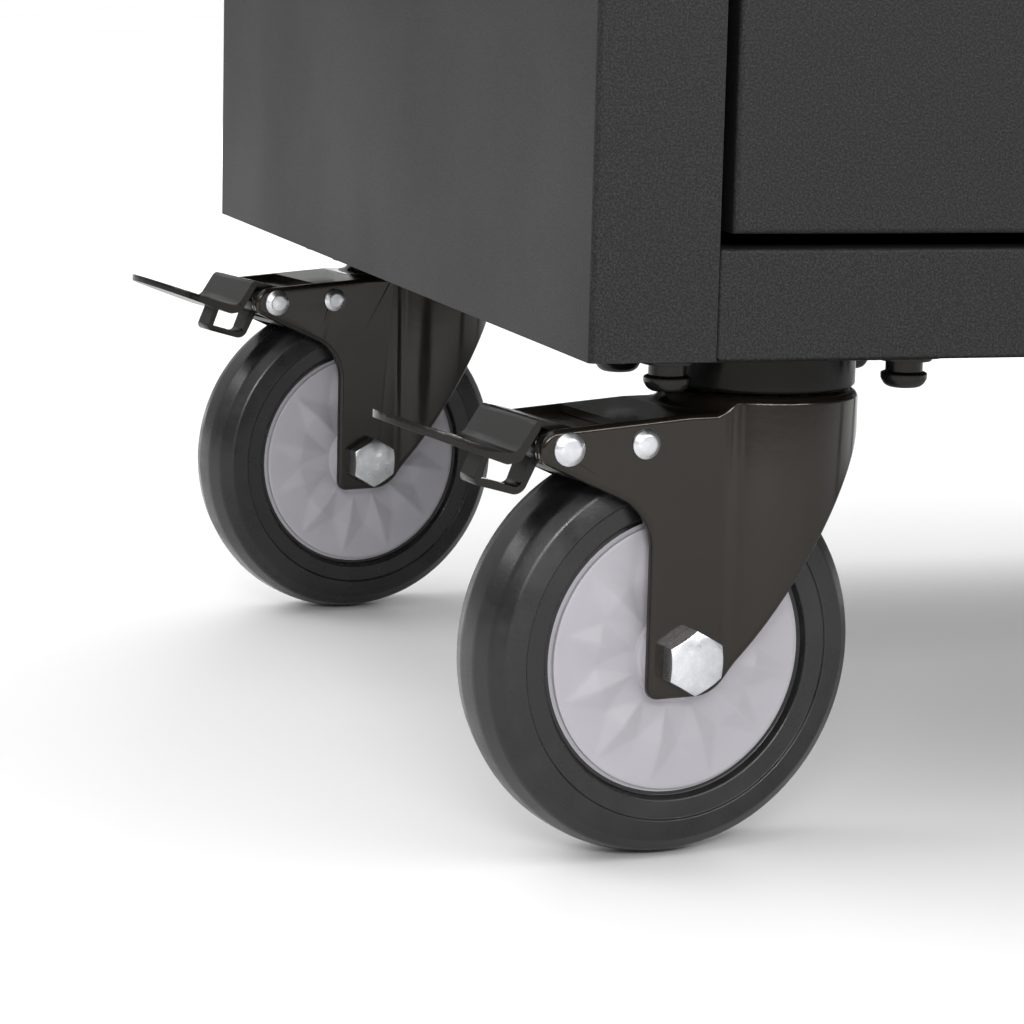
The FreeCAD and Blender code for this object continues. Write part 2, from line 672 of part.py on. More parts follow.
def top_plate():
    """Mounting plate with the pressed upper ball race below it."""
    length, width, thick = PLATE_SIZE
    plate = block(-length / 2, length / 2, -width / 2, width / 2, UNDERSIDE_Z - thick, UNDERSIDE_Z)
    corners = [edge for x in (-1, 1) for y in (-1, 1)
               for edge in upright_edges(plate, x * length / 2, y * width / 2)]
    plate = joined([plate.makeFillet(PLATE_CORNER_R, corners),
                    turned_up([(0, RACE_Z), (RACE_SKIRT_R, RACE_Z), (RACE_SKIRT_R, RACE_SKIRT_Z),
                               (RACE_R - 1, RACE_SKIRT_Z), (RACE_R, RACE_SKIRT_Z + 1),
                               (RACE_R, UNDERSIDE_Z - thick), (0, UNDERSIDE_Z - thick)])])
    cuts = [Part.makeTorus(BALL_RING_R, BALL_R + BALL_GAP, V(0, 0, ball_level())),
            rod(0, 0, RACE_Z - 1, (0, 0, 1), KINGPIN_R, 20)]
    return plate.cut(cuts + plate_holes())


def plate_holes():
    holes = []
    for i in (-1, 1):
        for j in (-1, 1):
            x, y = i * PLATE_BOLTS[0] / 2, j * PLATE_BOLTS[1] / 2
            holes.append(rod(x, y, UNDERSIDE_Z - 5, (0, 0, 1), BOLT_HOLE_R, 10))
    return holes


def ball_ring():
    balls = []
    for i in range(BALL_COUNT):
        angle = 2 * math.pi * i / BALL_COUNT
        centre = V(BALL_RING_R * math.cos(angle), BALL_RING_R * math.sin(angle), ball_level())
        balls.append(Part.makeSphere(BALL_R, centre))
    return balls


def kingpin():
    """Rivet through the plate and the fork's crown, with a wide head under the crown."""
    crown_under = CROWN_Z - CROWN_T
    return turned_up([(0, crown_under - KINGPIN_HEAD_H), (KINGPIN_HEAD_R / 2, crown_under - KINGPIN_HEAD_H),
                      (KINGPIN_HEAD_R, crown_under - KINGPIN_HEAD_H / 2),
                      (KINGPIN_HEAD_R, crown_under - BALL_GAP),
                      (KINGPIN_R, crown_under - BALL_GAP),
                      (KINGPIN_R, UNDERSIDE_Z), (0, UNDERSIDE_Z)])


def axle_set(x):
    """Hexagon bolt, bush, washer and nut of one wheel."""
    z = WHEEL_R
    nut_y = LEG_OUT + WASHER_T
    shank = cross_rod(x, z, AXLE_R, -LEG_OUT - 1, LEG_OUT + AXLE_END)
    head = joined([hexagon(-LEG_OUT - HEX_H, -LEG_OUT, x, z), shank])
    washer = cross_rod(x, z, WASHER_R, LEG_OUT, nut_y).cut(shank)
    nut = hexagon(nut_y, nut_y + NUT_H, x, z).cut(shank)
    bush = cross_rod(x, z, BUSH_R, -LEG_IN, LEG_IN).cut(shank)
    return [head, washer, nut, bush]


def tyre(x):
    """Rubber tyre with a crowned tread, round shoulders, and a step and a groove on each sidewall."""
    half = [(WHEEL_R, 0), (WHEEL_R - 0.1, TREAD_HALF_W), *TYRE_SHOULDER, (STEP_R, TYRE_HALF_W),
            (STEP_R - STEP_DEPTH / 2, TYRE_HALF_W - STEP_DEPTH), (GROOVE_R + 1, TYRE_HALF_W - STEP_DEPTH),
            (GROOVE_R, TYRE_HALF_W - GROOVE_DEPTH), (CORE_R, TYRE_HALF_W - GROOVE_DEPTH)]
    points = half + [(r, -y) for r, y in reversed(half[1:])]
    return turned(points, x, WHEEL_R)


def wheel_core(x):
    """Moulded centre of a wheel, with a raised hub and a running bore."""
    rim = CORE_R - CORE_LEDGE
    ledge = CORE_FACE - CORE_LEDGE_DEPTH
    half = [(BUSH_R + RUNNING_FIT, HUB_HALF_W), (HUB_R, HUB_HALF_W), (HUB_R + 1, CORE_FACE),
            (rim, CORE_FACE), (rim, ledge), (CORE_R, ledge)]
    points = half + [(r, -y) for r, y in reversed(half)]
    return turned(points, x, WHEEL_R)


def brake_bracket():
    """Saddle between the fork's arms that carries the brake."""
    cheek = from_axle([(-50, 61.5), (-50, 69.4), (-11, 69.4), (-11, 64.2), (-30, 63.8), (-40, 59)])
    inside = LEG_IN - 2.0
    pieces = [prism(cheek, [3, 3, 0, 0, 0, 3], side * LEG_IN if side < 0 else inside,
                    -inside if side < 0 else LEG_IN) for side in (-1, 1)]
    web = from_axle([(-34, 67.4), (-34, 69.4), (-24.5, 69.4), (-24.5, 67.4)])
    pieces.append(prism(web, [0] * 4, -LEG_IN, LEG_IN))
    bracket = joined(pieces)
    holes = [cross_rod(x, z, RIVET_R, -LEG_OUT, LEG_OUT) for x, z in from_axle([PEDAL_PIVOT, SHOE_PIVOT])]
    return bracket.cut(holes)


def brake_rivets():
    rivets = []
    for x, z in from_axle([PEDAL_PIVOT, SHOE_PIVOT]):
        rivet = [cross_rod(x, z, RIVET_R, -LEG_OUT - 1, LEG_OUT + 1)]
        for side in (-1, 1):
            flat = V(x, side * LEG_OUT, z)
            rivet.append(Part.makeCone(RIVET_HEAD_R, RIVET_HEAD_R - 1.8, RIVET_HEAD_H, flat, V(0, side, 0)))
        rivets.append(joined(rivet))
    return rivets


def brake_pedal():
    """Blade that the foot presses, its raised neck, the hub on the rivet, and the release lever."""
    hub_x, hub_z = from_axle([PEDAL_PIVOT])[0]
    sheet = from_axle([(-38.5, 70.8), (-50.3, 73.8), (-57.2, 63.6), (-94, 76.0), (-94, 73.7), (-59.6, 61.0),
                       (-55.2, 61.6), (-49.0, 71.3), (-39.5, 68.2)])
    lever = from_axle([(-42.5, 60), (-45.5, 60), (-48.9, 51.4), (-61.2, 55.0), (-58.6, 61.6), (-60.4, 62.2),
                       (-64.2, 53.4), (-48.2, 48.9)])
    tip_x = from_axle([(PEDAL_TIP_U + PEDAL_TIP_R, 0)])[0][0]
    plan = joined([
        rod(tip_x, 0, 0, (0, 0, 1), PEDAL_TIP_R, UNDERSIDE_Z),
        block(tip_x, hub_x - 8, -PEDAL_TIP_R, PEDAL_TIP_R, 0, UNDERSIDE_Z),
        block(tip_x, hub_x + 10, -PEDAL_NECK_HALF_W, PEDAL_NECK_HALF_W, 0, UNDERSIDE_Z),
    ])
    pedal = joined([
        cross_rod(hub_x, hub_z, PEDAL_HUB_R, -PEDAL_NECK_HALF_W, PEDAL_NECK_HALF_W),
        prism(sheet, [0, 2.5, 4, 0, 0, 3, 3, 1, 0], -PEDAL_TIP_R, PEDAL_TIP_R).common(plan),
        prism(lever, [0, 0, 2, 0, 0, 0, 2, 4], -LEVER_HALF_W, LEVER_HALF_W),
    ])
    return pedal.cut(cross_rod(hub_x, hub_z, RIVET_R + RUNNING_FIT, -LEG_OUT, LEG_OUT))


def brake_shoe():
    """Curved plate above the tread, hung from the second rivet."""
    hub_x, hub_z = from_axle([SHOE_PIVOT])[0]
    start, end = SHOE_SWEEP
    inner, outer = SHOE_R
    sector = (Part.makeCylinder(outer, 2 * SHOE_HALF_W, V(0, 0, 0), V(0, 0, 1), end - start)
              .cut(Part.makeCylinder(inner, 2 * SHOE_HALF_W, V(0, 0, 0), V(0, 0, 1), end - start)))
    sector.rotate(V(0, 0, 0), V(0, 0, 1), start)
    sector.rotate(V(0, 0, 0), V(1, 0, 0), 90)
    sector.translate(V(-TRAIL, SHOE_HALF_W, WHEEL_R))
    hub = cross_rod(hub_x, hub_z, SHOE_HUB_R, -SHOE_HALF_W, SHOE_HALF_W)
    return joined([hub, sector]).cut(cross_rod(hub_x, hub_z, RIVET_R + RUNNING_FIT, -LEG_OUT, LEG_OUT))


def rigid_fork():
    """Fixed fork with its own mounting plate, straight above the axle."""
    length, width, thick = PLATE_SIZE
    plate_z = UNDERSIDE_Z - thick
    plate = block(-length / 2, length / 2, -width / 2, width / 2, plate_z, UNDERSIDE_Z).cut(plate_holes())
    body = prism([(-27, plate_z), (27, plate_z), (13, WHEEL_R - 11.5), (-13, WHEEL_R - 11.5)],
                 [0, 0, 11, 11], -LEG_OUT, LEG_OUT)
    body = body.cut(block(-40, 40, -LEG_IN, LEG_IN, 0, plate_z - LEG_T))
    return joined([plate, body]).cut(cross_rod(0, WHEEL_R, AXLE_R, -LEG_OUT - 1, LEG_OUT + 1))


def bolt_sets():
    """Domed cap on a flanged bolt, and a flanged nut, at every hole of the four caster plates."""
    head_z = UNDERSIDE_Z - PLATE_SIZE[2]
    neck_z = head_z - BOLT_FLANGE_T
    cap_z = head_z - BOLT_CAP_DROP
    nut_z = UNDERSIDE_Z + SHEET + CHANNEL_T
    bolt = turned_up([(0, cap_z), (BOLT_CAP_R - 2.8, cap_z + 0.3), (BOLT_CAP_R - 0.8, cap_z + 1.3),
                      (BOLT_CAP_R, cap_z + 2.6), (BOLT_CAP_R, cap_z + 4.6), (BOLT_NECK_R, cap_z + 5.2),
                      (BOLT_NECK_R, neck_z), (BOLT_FLANGE_R, neck_z), (BOLT_FLANGE_R, head_z),
                      (BOLT_R, head_z), (BOLT_R, nut_z + BOLT_END), (0, nut_z + BOLT_END)])
    nut = turned_up([(BOLT_R, nut_z), (BOLT_FLANGE_R, nut_z), (BOLT_FLANGE_R, nut_z + BOLT_FLANGE_T),
                     (BOLT_CAP_R, nut_z + 2), (BOLT_CAP_R, nut_z + PLATE_NUT_H),
                     (BOLT_R, nut_z + PLATE_NUT_H)])
    sets = []
    for x, y in plate_bolt_points():
        sets += [placed(bolt, x, y), placed(nut, x, y)]
    return sets


# Assembly

def cabinet_nodes():
    levels = [slide_level(bottom, top) for bottom, top in drawer_fronts()]
    return {
        "left_side_panel": side_panel(-1),
        "right_side_panel": side_panel(1),
        "back_panel": back_panel(),
        "base_pan": base_pan(),
        "caster_channels": caster_channels(),
        "bottom_rail": bottom_rail(),
        "top_rail": top_rail(),
        "top_tray": top_tray(),
        "tray_liner": tray_liner(),
        "side_handle": side_handle(),
        "lock_housing": lock_housing(),
        "lock_barrel": lock_barrel(),
        "lock_bar": lock_bar(),
        "slide_cabinet_members": [cabinet_slide(side, z) for z in levels for side in (-1, 1)],
        "caster_bolts": bolt_sets(),
    }


def drawer_nodes():
    nodes = {}
    for number, (bottom, top) in enumerate(drawer_fronts(), 1):
        name = "drawer_%d_" % number
        nodes[name + "front"] = drawer_front(bottom, top)
        nodes[name + "box"] = drawer_box(bottom, top)
        nodes[name + "pull"] = drawer_pull(top)
        nodes[name + "slide_members"] = [drawer_slide(side, slide_level(bottom, top)) for side in (-1, 1)]
    return nodes


def caster_nodes():
    nodes = {
        "swivel_top_plates": [placed(top_plate(), x, y) for x, y, _ in SWIVELS.values()],
        "swivel_balls": [placed(ball, x, y) for x, y, _ in SWIVELS.values() for ball in ball_ring()],
        "kingpins": [placed(kingpin(), x, y) for x, y, _ in SWIVELS.values()],
        "rigid_forks": [placed(rigid_fork(), x, y) for x, y in RIGIDS.values()],
        "rigid_axles": [placed(piece, x, y) for x, y in RIGIDS.values() for piece in axle_set(0)],
    }
    swivel_pieces = {
        "fork": [swivel_fork()],
        "axle": axle_set(-TRAIL),
        "brake_bracket": [brake_bracket()],
        "brake_rivets": brake_rivets(),
        "brake_pedal": [brake_pedal()],
        "brake_shoe": [brake_shoe()],
        "tyre": [tyre(-TRAIL)],
        "wheel_core": [wheel_core(-TRAIL)],
    }
    for corner, (x, y, heading) in SWIVELS.items():
        for piece, solids in swivel_pieces.items():
            nodes["%s_%s" % (corner, piece)] = [placed(solid, x, y, heading) for solid in solids]
    for corner, (x, y) in RIGIDS.items():
        nodes[corner + "_tyre"] = placed(tyre(0), x, y)
        nodes[corner + "_wheel_core"] = placed(wheel_core(0), x, y)
    return nodes


def export(nodes):
    os.makedirs("parts", exist_ok=True)
    for name, solids in nodes.items():
        shape = Part.makeCompound(solids) if isinstance(solids, list) else solids
        shape.exportStep("parts/%s.step" % name)
        print("%-28s solids %3d  valid %s" % (name, len(shape.Solids), shape.isValid()))


nodes = {}
nodes.update(cabinet_nodes())
nodes.update(drawer_nodes())
nodes.update(caster_nodes())
export(nodes)
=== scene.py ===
import json
import math

import bmesh
import bpy
from mathutils import Matrix, Vector


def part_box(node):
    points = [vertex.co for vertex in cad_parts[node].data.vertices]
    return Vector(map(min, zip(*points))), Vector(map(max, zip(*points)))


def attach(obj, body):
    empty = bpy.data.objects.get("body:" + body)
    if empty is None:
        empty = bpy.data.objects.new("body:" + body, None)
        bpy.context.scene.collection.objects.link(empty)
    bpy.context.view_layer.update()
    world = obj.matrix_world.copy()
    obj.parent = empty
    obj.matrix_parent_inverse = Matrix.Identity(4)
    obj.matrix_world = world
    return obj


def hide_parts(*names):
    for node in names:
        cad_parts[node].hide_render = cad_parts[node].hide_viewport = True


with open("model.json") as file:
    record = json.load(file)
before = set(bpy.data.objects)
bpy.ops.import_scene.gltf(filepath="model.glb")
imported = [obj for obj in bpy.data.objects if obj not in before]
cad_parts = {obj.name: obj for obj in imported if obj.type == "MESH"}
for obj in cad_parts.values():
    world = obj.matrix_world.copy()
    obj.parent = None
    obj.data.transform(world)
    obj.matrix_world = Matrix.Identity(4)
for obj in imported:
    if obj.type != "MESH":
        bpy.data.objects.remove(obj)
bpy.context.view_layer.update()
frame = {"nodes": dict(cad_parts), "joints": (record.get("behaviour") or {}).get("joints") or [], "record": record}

MM = 0.001
NODES = frame["nodes"]
JOINTS = {joint["name"]: joint for joint in frame["joints"]}
SWIVEL_CORNERS = ("front_left", "rear_left")
RIGID_CORNERS = ("front_right", "rear_right")
SMOOTH_UNDER = math.radians(32)     # faces that meet at less than this are shaded as one


# ---------------------------------------------------------------- materials

class Shader:
    """A material's node tree, with short ways to add and link nodes.

    Scales are in noise cells per metre, and bump depths in metres.
    """

    def __init__(self, name):
        self.material = bpy.data.materials.new(name)
        self.material.use_nodes = True
        self.tree = self.material.node_tree
        self.surface = self.tree.nodes["Principled BSDF"]
        self.place = self.add("ShaderNodeTexCoord").outputs["Object"]

    def add(self, kind):
        return self.tree.nodes.new(kind)

    def link(self, source, target):
        self.tree.links.new(source, target)

    def stretched(self, scale):
        mapping = self.add("ShaderNodeMapping")
        mapping.inputs["Scale"].default_value = scale
        self.link(self.place, mapping.inputs["Vector"])
        return mapping.outputs["Vector"]

    def noise(self, scale, detail=2.0, roughness=0.5, stretch=None):
        node = self.add("ShaderNodeTexNoise")
        node.inputs["Scale"].default_value = scale
        node.inputs["Detail"].default_value = detail
        node.inputs["Roughness"].default_value = roughness
        self.link(self.stretched(stretch) if stretch else self.place, node.inputs["Vector"])
        return node.outputs["Fac"]

    def spread(self, value, low, high, to_low=0.0, to_high=1.0):
        """Stretch a value's range, kept between its ends."""
        node = self.add("ShaderNodeMapRange")
        ends = {"From Min": low, "From Max": high, "To Min": to_low, "To Max": to_high}
        for name, number in ends.items():
            node.inputs[name].default_value = number
        self.link(value, node.inputs["Value"])
        return node.outputs["Result"]

    def between(self, share, start, end):
        """A value that goes from start to end as share goes from 0 to 1."""
        return self.spread(share, 0.0, 1.0, start, end)

    def blend(self, factor, first, second):
        node = self.add("ShaderNodeMix")
        node.data_type = "RGBA"
        for socket, colour in ((node.inputs[6], first), (node.inputs[7], second)):
            if isinstance(colour, (tuple, list)):
                socket.default_value = (*colour, 1.0)
            else:
                self.link(colour, socket)
        self.link(factor, node.inputs[0])
        return node.outputs[2]

    def bump(self, height, depth, strength, before=None):
        node = self.add("ShaderNodeBump")
        node.inputs["Distance"].default_value = depth
        node.inputs["Strength"].default_value = strength
        self.link(height, node.inputs["Height"])
        if before:
            self.link(before, node.inputs["Normal"])
        return node.outputs["Normal"]

    def set(self, **values):
        for name, value in values.items():
            socket = self.surface.inputs[name.replace("_", " ")]
            if isinstance(value, bpy.types.NodeSocket):
                self.link(value, socket)
            elif isinstance(value, tuple):
                socket.default_value = (*value, 1.0)
            else:
                socket.default_value = value
        return self.material


POWDER_ROUGHNESS = 0.52
PLASTIC_ROUGHNESS = 0.42


def scaled(colour, factor):
    return tuple(part * factor for part in colour)


def powder_coat(name, dark, light, grain=1.0):
    """Fine textured powder paint: pale specks in a dark body, with a pebbled surface."""
    shader = Shader(name)
    speck = shader.spread(shader.noise(1700.0, detail=3.0, roughness=0.65), 0.44, 0.68)
    cloud = shader.spread(shader.noise(9.0, detail=3.0), 0.3, 0.7)
    body = shader.blend(cloud, dark, scaled(dark, 1.12))
    colour = shader.blend(shader.between(speck, 0.0, 0.6 * grain), body, light)
    rough = shader.between(cloud, POWDER_ROUGHNESS - 0.03, POWDER_ROUGHNESS + 0.05)
    pebble = shader.bump(shader.noise(1500.0, roughness=0.55), 0.00008, 0.5 * grain)
    normal = shader.bump(shader.noise(60.0), 0.0002, 0.10, pebble)
    return shader.set(Base_Color=colour, Roughness=rough, Normal=normal, Metallic=0.0,
                      Specular_IOR_Level=0.2)


def gloss_paint(name, colour, rough, specular):
    """Dip-painted pressed steel: glossy, with slight runs and orange peel."""
    shader = Shader(name)
    cloud = shader.spread(shader.noise(35.0, detail=3.0), 0.3, 0.7)
    base = shader.blend(cloud, colour, scaled(colour, 1.35))
    peel = shader.bump(shader.noise(420.0), 0.00006, 0.35)
    normal = shader.bump(shader.noise(55.0), 0.0004, 0.16, peel)
    return shader.set(Base_Color=base, Roughness=shader.between(cloud, rough - 0.04, rough + 0.08),
                      Normal=normal, Specular_IOR_Level=specular, Specular_Tint=(1.0, 0.95, 0.89))


def plated(name, colour, rough=0.28, grain=(1.0, 1.0, 1.0)):
    """Zinc-plated or polished metal with a faint spangle."""
    shader = Shader(name)
    spangle = shader.spread(shader.noise(260.0, 3.0, 0.6, grain), 0.35, 0.7)
    base = shader.blend(spangle, scaled(colour, 0.82), colour)
    normal = shader.bump(shader.noise(700.0, 2.0, 0.5, grain), 0.00005, 0.35)
    return shader.set(Base_Color=base, Metallic=1.0, Normal=normal,
                      Roughness=shader.between(spangle, rough + 0.10, rough - 0.05))


def rubber(name, dark, light, rough):
    """Moulded rubber with mould marks and a little floor dust."""
    shader = Shader(name)
    dust = shader.spread(shader.noise(70.0, detail=4.0, roughness=0.6), 0.45, 0.75)
    base = shader.blend(dust, dark, light)
    fine = shader.bump(shader.noise(1100.0), 0.00008, 0.4)
    normal = shader.bump(shader.noise(90.0, detail=3.0), 0.0003, 0.15, fine)
    return shader.set(Base_Color=base, Roughness=shader.between(dust, rough - 0.06, rough + 0.14),
                      Normal=normal, Specular_IOR_Level=0.45)


def plastic(name, colour):
    """Moulded plastic with flow marks."""
    shader = Shader(name)
    flow = shader.spread(shader.noise(45.0, detail=3.0), 0.3, 0.7)
    base = shader.blend(flow, scaled(colour, 0.93), colour)
    normal = shader.bump(shader.noise(800.0), 0.00005, 0.3)
    rough = shader.between(flow, PLASTIC_ROUGHNESS, PLASTIC_ROUGHNESS + 0.08)
    return shader.set(Base_Color=base, Roughness=rough, Normal=normal, Specular_IOR_Level=0.45)


MATERIALS = {
    "powder_charcoal": powder_coat("charcoal powder coat",
                                   (0.0065, 0.0065, 0.0067), (0.052, 0.052, 0.053)),
    "powder_box": powder_coat("drawer box paint", (0.016, 0.016, 0.0165), (0.036, 0.036, 0.037), 0.6),
    "gloss_black": gloss_paint("black fork paint", (0.0075, 0.0060, 0.0045), 0.15, 0.38),
    "black_hardware": gloss_paint("black hardware", (0.006, 0.006, 0.006), 0.22, 0.3),
    "race_paint": gloss_paint("black race paint", (0.005, 0.005, 0.005), 0.3, 0.16),
    "zinc": plated("zinc plate", (0.70, 0.71, 0.73)),
    "greased": plated("greased steel", (0.12, 0.115, 0.105), 0.34),
    "chrome": plated("nickel plate", (0.86, 0.86, 0.87), 0.16),
    "pull_aluminium": plated("anodised aluminium", (0.66, 0.67, 0.69), 0.30, (0.02, 1.0, 1.0)),
    "tyre_rubber": rubber("tyre rubber", (0.008, 0.008, 0.0082), (0.015, 0.015, 0.0155), 0.33),
    "liner_rubber": rubber("mat rubber", (0.020, 0.020, 0.021), (0.032, 0.032, 0.033), 0.62),
    "core_grey": plastic("grey moulded core", (0.41, 0.398, 0.43)),
}


CAD_EDGE_R = 0.35                   # radii in millimetres
FOLD_R = 1.1
WELD_GAP = 0.01
FOLDED_NODES = ("bottom_rail", "top_rail")
OWN_FINISH = {"swivel_balls": "greased", "kingpins": "greased", "swivel_top_plates": "race_paint"}


def soften_edges(piece, radius):
    bevel = piece.modifiers.new("edges", "BEVEL")
    bevel.width = radius * MM
    bevel.segments = 2
    bevel.limit_method = "ANGLE"
    bevel.angle_limit = SMOOTH_UNDER
    bevel.harden_normals = True


def dress_cad_nodes():
    """Give each CAD node its finish, and soften the edges of those that are shown."""
    for entry in frame["record"]["subparts"]:
        node = NODES[entry["node"]]
        for holder in node.material_slots:
            holder.material = MATERIALS[OWN_FINISH.get(entry["node"], entry["material_slot"])]
        if node.hide_render:
            continue
        weld = node.modifiers.new("weld", "WELD")
        weld.merge_threshold = WELD_GAP * MM
        soften_edges(node, FOLD_R if entry["node"] in FOLDED_NODES else CAD_EDGE_R)


# ---------------------------------------------------------------- mesh helpers, in millimetres

AXIS_GAP = 0.05                     # how near a turned cap comes to its axis


def rounded_line(corners, steps=5):
    """Line through (x, y, radius) corners, with an arc of that radius in place of each corner."""
    line = []
    for i, (x, y, radius) in enumerate(corners):
        corner = Vector((x, y))
        if radius == 0 or i in (0, len(corners) - 1):
            line.append(corner)
            continue
        back = (Vector(corners[i - 1][:2]) - corner).normalized()
        ahead = (Vector(corners[i + 1][:2]) - corner).normalized()
        half = back.angle(ahead) / 2
        reach = radius / math.tan(half)
        centre = corner + (back + ahead).normalized() * (radius / math.sin(half))
        start = corner + back * reach - centre
        turn = start.angle_signed(corner + ahead * reach - centre)
        for k in range(steps + 1):
            angle = -turn * k / steps
            spoke = Vector((start.x * math.cos(angle) - start.y * math.sin(angle),
                            start.x * math.sin(angle) + start.y * math.cos(angle)))
            line.append(centre + spoke)
    return line


def mirrored(half):
    """The same line on the other side of the middle, in the opposite order."""
    return [(radius, -along) for radius, along in reversed(half)]


def circle_ring(radius, along, count):
    return [(radius * math.sin(math.tau * k / count), along, radius * math.cos(math.tau * k / count))
            for k in range(count)]


class Shape:
    """Points in millimetres and faces, gathered into one mesh in the frame's metres."""

    def __init__(self):
        self.points = []
        self.faces = []

    def add(self, points, faces, place):
        first = len(self.points)
        self.points += [place @ (Vector(point) * MM) for point in points]
        self.faces += [tuple(first + i for i in face) for face in faces]

    def rings(self, rings, place, closed=False, capped=False):
        """Skin over rings that all have the same number of points."""
        count = len(rings[0])
        points = [point for ring in rings for point in ring]
        faces = []
        last = len(rings) if closed else len(rings) - 1
        for i in range(last):
            a, b = i * count, (i + 1) % len(rings) * count
            for k in range(count):
                n = (k + 1) % count
                faces.append((a + k, b + k, b + n, a + n))
        if capped:
            faces.append(tuple(range(count)))
            faces.append(tuple(reversed(range((len(rings) - 1) * count, len(rings) * count))))
        self.add(points, faces, place)

    def turned(self, line, place, closed=True, segments=96):
        """Line of (radius, distance along Y) points, turned about the local Y axis."""
        rings = []
        for radius, along in line:
            rings.append(circle_ring(radius, along, segments))
        self.rings(rings, place, closed=closed)

    def finish(self, name, slot, body, replaces):
        """Make the piece, smooth it by angle, and place it in the frame."""
        mesh = bpy.data.meshes.new(name)
        mesh.from_pydata([tuple(point) for point in self.points], [], self.faces)
        work = bmesh.new()
        work.from_mesh(mesh)
        bmesh.ops.remove_doubles(work, verts=work.verts, dist=WELD_GAP * MM)
        bmesh.ops.recalc_face_normals(work, faces=work.faces)
        work.to_mesh(mesh)
        work.free()
        mesh.polygons.foreach_set("use_smooth", [True] * len(mesh.polygons))
        mesh.set_sharp_from_angle(angle=SMOOTH_UNDER)
        mesh.materials.append(MATERIALS[slot])
        piece = bpy.data.objects.new(name, mesh)
        bpy.context.scene.collection.objects.link(piece)
        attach(piece, body)
        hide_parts(*replaces)


# ---------------------------------------------------------------- wheels, in millimetres

WHEEL_R = 62.5
TYRE_HALF_W = 16.0
TREAD_HALF_W = 4.5
CROWN = 0.1
SHOULDERS = ((60.4, 11.6, 4), (56.6, 14.8, 2.6))    # radius, place across and rounding
STEP_R = 50.4                       # moulded step on the sidewall
STEP_DEPTH = 0.8
GROOVE_R = 43.2
GROOVE_DEPTH = 3.2
CORE_R = 42.0
CORE_RIM_R = 40.8
CORE_FACE = 15.8
CORE_LEDGE = CORE_FACE - 3
DISC_FACE = CORE_FACE - 1.3         # the face that the facets stand on
HUB_R = 12.5
HUB_HALF_W = 18.5
HUB_CHAMFER = 0.6
BORE_R = 7.1
BORE_CHAMFER = 0.4
KITES = 12
KITE_SPAN = (15.0, 27.0, 40.0)      # inner tip, widest place and outer tip of a kite facet
KITE_HALF_W = 6.6
KITE_RISE = 1.5
KITE_TURN = 0.2                     # radians from upright
SECTOR_RISE = 0.5
TYRE_SEGMENTS = 160
CORE_SEGMENTS = 240
DISC_STEPS = 40


def wheel_place(corner):
    """Local frame of a wheel: its centre, X along the rolling direction, Y along the axle."""
    joint = JOINTS[corner + "_wheel_roll"]
    heading = math.atan2(-joint["axis"][0], joint["axis"][1])
    return Matrix.Translation(joint["pos_m"]) @ Matrix.Rotation(heading, 4, "Z")


def tyre(corner):
    """Slightly crowned tread, tight shoulders, a step on the sidewall and a groove round the core."""
    wall = TYRE_HALF_W - STEP_DEPTH
    bottom = TYRE_HALF_W - GROOVE_DEPTH
    half = rounded_line([
        (WHEEL_R, 0, 0),
        (WHEEL_R - CROWN, TREAD_HALF_W, 9),
        *SHOULDERS,
        (STEP_R, TYRE_HALF_W, 0.5),
        (STEP_R - 0.4, wall, 0.3),
        (GROOVE_R + 1, wall, 0.8),
        (GROOVE_R, bottom, 0.5),
        (CORE_R, bottom, 0),
    ], steps=8)
    shape = Shape()
    shape.turned(half + mirrored(half[1:]), wheel_place(corner), segments=TYRE_SEGMENTS)
    shape.finish(corner + "_tyre_moulding", "tyre_rubber", corner + "_wheel", [corner + "_tyre"])


def facet_rise(radius, angle):
    """Height of the core's kite facets above its face. It is nought outside their span."""
    sector = math.tau / KITES
    offset = (angle + sector / 2) % sector - sector / 2
    inner, widest, outer = KITE_SPAN
    share = min((radius - inner) / (widest - inner), (outer - radius) / (outer - widest))
    if share <= 0:
        return 0.0
    across = abs(math.sin(offset)) * radius / (KITE_HALF_W * share)
    between = 1 - abs(offset) / (sector / 2)
    return KITE_RISE * share * max(0.0, 1 - across) - SECTOR_RISE * share * (1 - between)


def core_line():
    """Half section of the core, from its bore over the hub and the disc to the rim."""
    disc_start = HUB_R + 2
    disc_width = CORE_RIM_R - 0.5 - disc_start
    line = [
        (BORE_R, HUB_HALF_W - BORE_CHAMFER),
        (BORE_R + BORE_CHAMFER, HUB_HALF_W),
        (HUB_R - HUB_CHAMFER, HUB_HALF_W),
        (HUB_R, HUB_HALF_W - HUB_CHAMFER),
        (HUB_R + 0.5, CORE_FACE + 0.2),
        (HUB_R + 1.4, CORE_FACE - 0.2),
    ]
    line += [(disc_start + disc_width * i / DISC_STEPS, DISC_FACE) for i in range(DISC_STEPS + 1)]
    line += [(CORE_RIM_R, CORE_FACE - 1.5), (CORE_RIM_R, CORE_LEDGE), (CORE_R, CORE_LEDGE)]
    return line


def wheel_core(corner):
    """Moulded core: a hub boss and a faceted face on each side, joined by the bore and the rim."""
    place = wheel_place(corner)
    shape = Shape()
    for side in (-1, 1):
        rings = []
        for radius, along in core_line():
            ring = []
            for k in range(CORE_SEGMENTS):
                angle = math.tau * k / CORE_SEGMENTS
                height = along + facet_rise(radius, angle + side * KITE_TURN)
                ring.append((radius * math.sin(angle), side * height, radius * math.cos(angle)))
            rings.append(ring)
        shape.rings(rings, place)
    bore_end = HUB_HALF_W - BORE_CHAMFER
    for radius, end in ((BORE_R, bore_end), (CORE_R, CORE_LEDGE)):
        shape.turned([(radius, -end), (radius, end)], place, closed=False, segments=CORE_SEGMENTS)
    shape.finish(corner + "_core_moulding", "core_grey", corner + "_wheel", [corner + "_wheel_core"])


